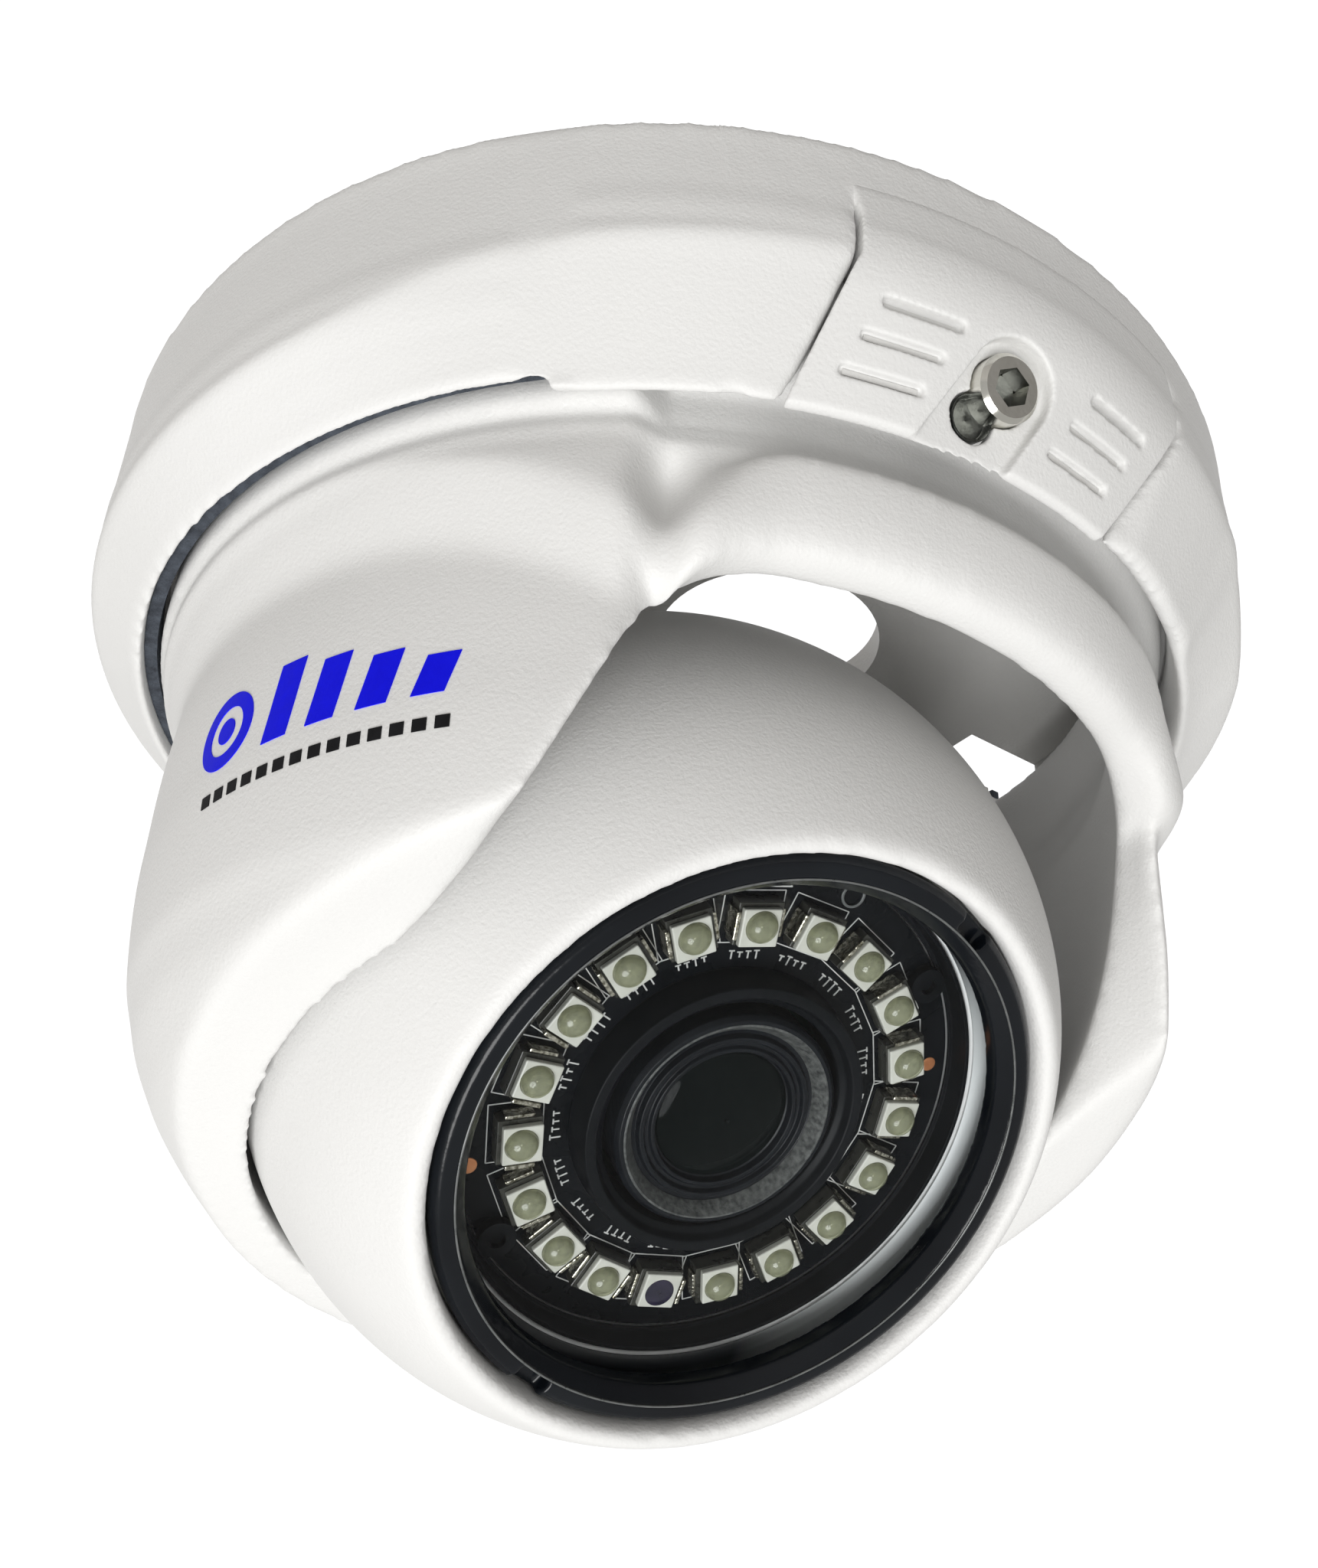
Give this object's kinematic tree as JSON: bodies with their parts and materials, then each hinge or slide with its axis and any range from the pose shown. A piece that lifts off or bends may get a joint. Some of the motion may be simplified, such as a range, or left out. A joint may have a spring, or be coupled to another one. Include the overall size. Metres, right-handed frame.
{
  "type": "dome cctv camera",
  "caption": "Ceiling-mounted turret camera: a ball with a ringed infrared window tilts in a slotted cowl that pans in a cast base ring.",
  "frame": {"origin": "centre of the mounting face, on the pan axis", "axes": "+Z into the ceiling, the body hangs towards -Z; -Y is the side the camera looks to; X is the tilt axis"},
  "size_m": [0.0938, 0.094, 0.0698],
  "materials": {
    "white_cast": "matt white powder coat on a zinc casting, fine grain",
    "plate_cast": "thin matt paint on a die casting",
    "foam": "dark slate foam strip",
    "steel": "plain steel",
    "nickel": "bright nickel plate",
    "nylon": "natural nylon",
    "bronze": "sintered bronze",
    "black_rubber": "black, matt",
    "black_plastic": "black, fine texture",
    "black_anodised": "gloss black",
    "window": "clear, flat, polished",
    "black_board": "black solder mask",
    "led_body": "white moulded package",
    "led_lens": "clear yellow-green silicone dome",
    "lens_glass": "coated optical glass",
    "filter_glass": "pale cyan filter glass",
    "sensor": "image sensor with cover glass",
    "green_board": "green solder mask",
    "brass": "turned brass",
    "connector": "natural nylon housing"
  },
  "bodies": {
    "root": {"base_ring": "white_cast", "clamp_block": "white_cast", "mounting_plate": "plate_cast", "ceiling_gasket": "foam", "lip_seal": "foam", "plate_screws": "steel"},
    "lock": {"lock_screw": "nickel"},
    "bracket": {"bracket_cowl": "white_cast", "pivot_screws": "steel", "friction_washers": "nylon"},
    "ball": {"ball_front_shell": "white_cast", "ball_rear_shell": "white_cast", "shell_seal": "black_rubber", "shell_screws": "steel", "pivot_bushes": "bronze", "cable_gland": "black_rubber", "gland_nut": "black_plastic", "bezel_ring": "black_anodised", "window_glass": "window", "window_gasket": "black_rubber", "led_board": "black_board", "led_board_screws": "steel", "ir_leds": "led_body", "led_lenses": "led_lens", "light_sensor": "led_body", "lens_hood": "black_rubber", "lens_barrel": "black_plastic", "lens_front_glass": "lens_glass", "lens_rear_glass": "lens_glass", "lens_holder": "black_plastic", "ir_cut_filter": "filter_glass", "image_sensor": "sensor", "image_board": "green_board", "power_board": "green_board", "front_standoffs": "brass", "rear_standoffs": "brass", "board_screws": "steel", "cable_connectors": "connector"}
  },
  "joints": [
    {"name": "pan", "type": "hinge", "parent": "root", "child": "bracket", "pos_m": [0, 0, -0.0095], "axis": [0, 0, 1], "range_deg": [-180, 180]},
    {"name": "tilt", "type": "hinge", "parent": "bracket", "child": "ball", "pos_m": [0, 0, -0.04], "axis": [-1, 0, 0], "range_deg": [-42, 33]},
    {"name": "lock_screw_turn", "type": "hinge", "parent": "root", "child": "lock", "pos_m": [-0.00411, -0.04426, -0.0142], "axis": [-0.0837, -0.9024, -0.4226], "range_deg": [-180, 180]}
  ]
}
